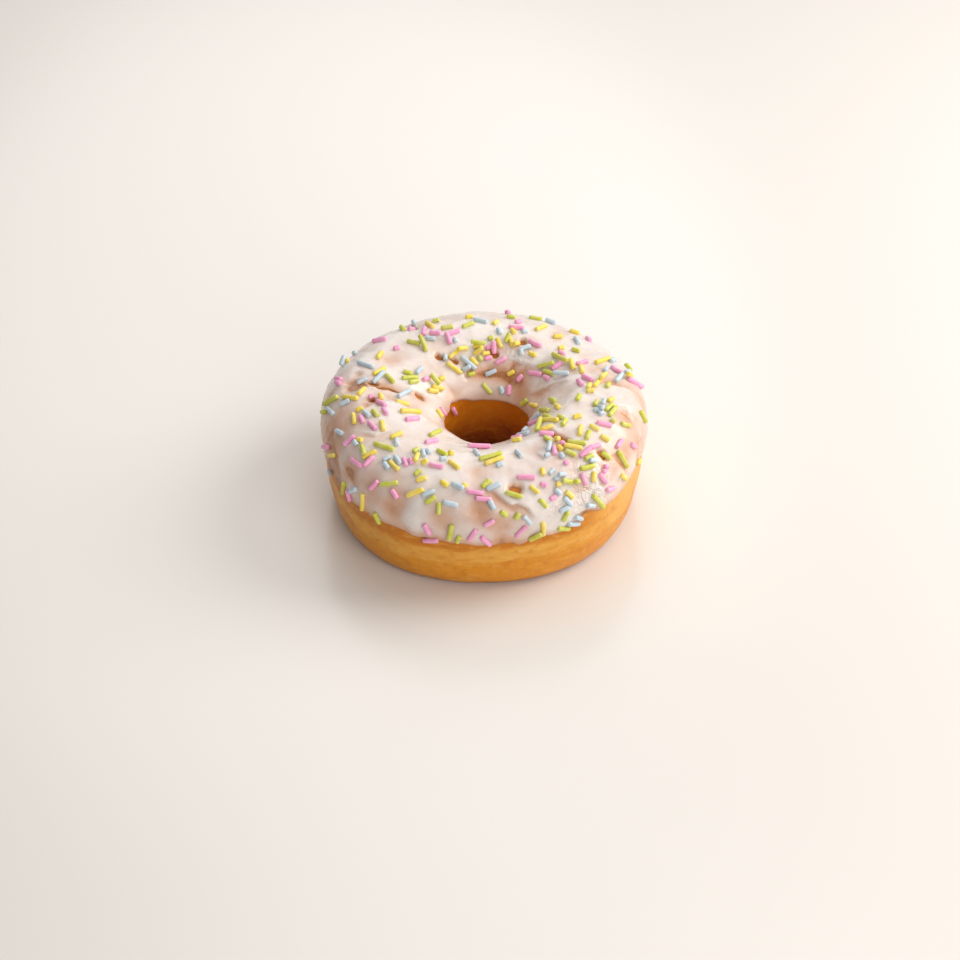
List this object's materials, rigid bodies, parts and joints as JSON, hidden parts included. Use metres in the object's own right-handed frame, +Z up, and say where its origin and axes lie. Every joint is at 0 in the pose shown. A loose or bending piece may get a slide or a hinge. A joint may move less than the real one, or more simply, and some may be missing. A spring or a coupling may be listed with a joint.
{
  "type": "sprinkle frosted doughnut",
  "caption": "Round ring doughnut with a poured white icing cap over its upper half, strewn with sugar strands in pink, yellow, green and pale blue.",
  "frame": {"origin": "bottom centre of the whole doughnut's box, at the level that the base stands on", "axes": "+Z up, along the axis of the hole; +Y away from the viewer's side, where the ring is a little deeper than wide"},
  "size_m": [0.088, 0.0918, 0.0352],
  "materials": {
    "dough": "fried dough crust, golden brown, faint oily sheen",
    "icing": "set sugar glaze, cream white, satin gloss, tan where thin",
    "sprinkle_pink": "sugar strand, satin",
    "sprinkle_yellow": "sugar strand, satin",
    "sprinkle_green": "sugar strand, satin",
    "sprinkle_blue": "sugar strand, satin"
  },
  "bodies": {
    "root": {"dough": "dough", "icing": "icing"}
  },
  "joints": []
}
